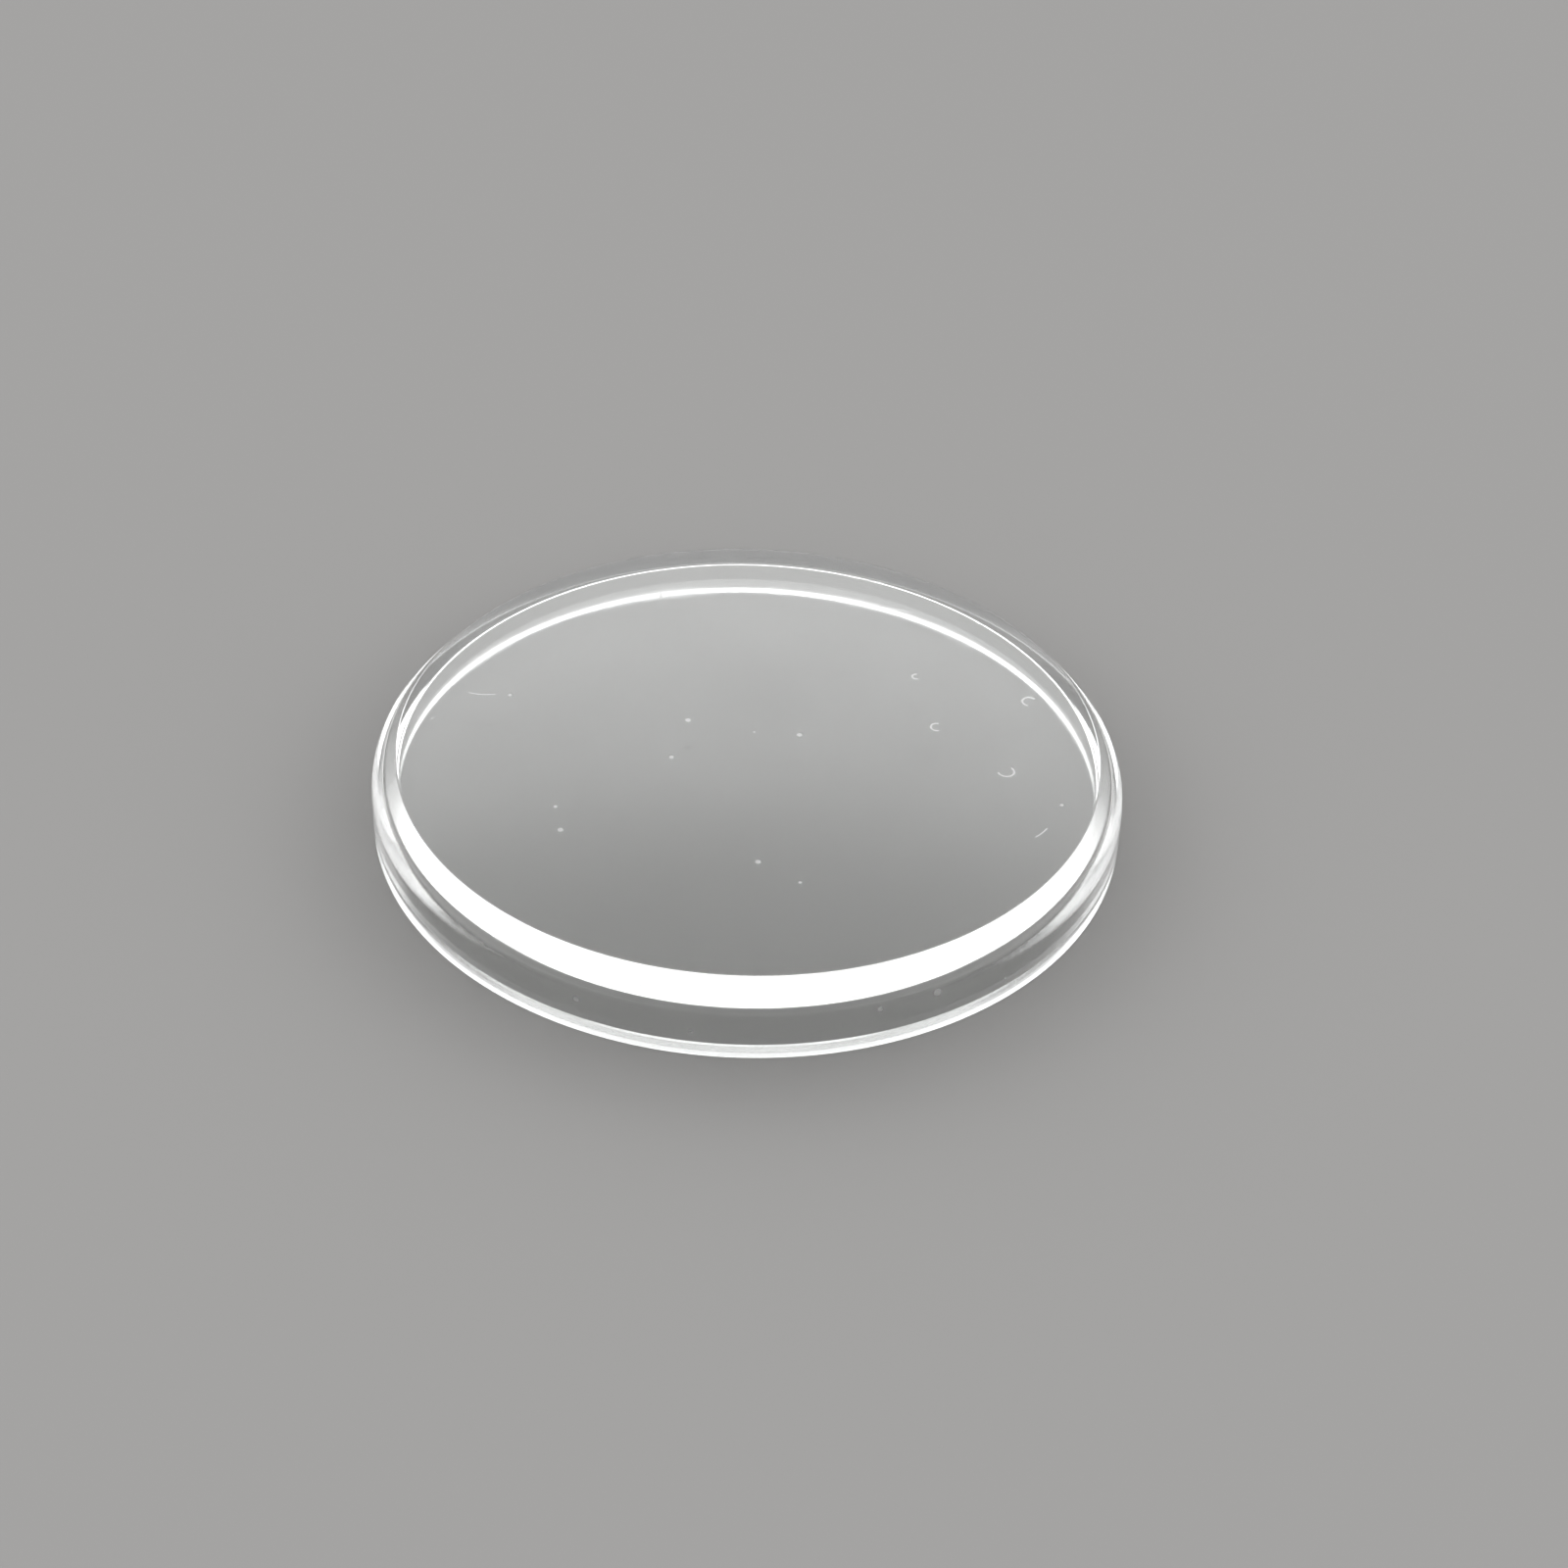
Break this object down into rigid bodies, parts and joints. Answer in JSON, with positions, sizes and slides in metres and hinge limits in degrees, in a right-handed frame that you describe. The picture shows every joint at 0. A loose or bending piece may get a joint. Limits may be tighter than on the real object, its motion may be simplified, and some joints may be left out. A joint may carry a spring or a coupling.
{
  "type": "watch crystal",
  "caption": "Clear round watch crystal, a shallow cup with a nearly flat top, a broad bevel round its edge and a straight wall that stands on its bevelled foot.",
  "frame": {"origin": "centre of the ring that the foot rests on, which is the bottom centre of the part", "axes": "+Z along the axis of the round, out through the dome; X and Y are alike"},
  "size_m": [0.0315, 0.0314, 0.0035],
  "materials": {
    "clear_acrylic": "clear acrylic, polished on every face, with a soft haze, a few fine scratches and specks of dust"
  },
  "bodies": {
    "root": {"crystal": "clear_acrylic"}
  },
  "joints": []
}
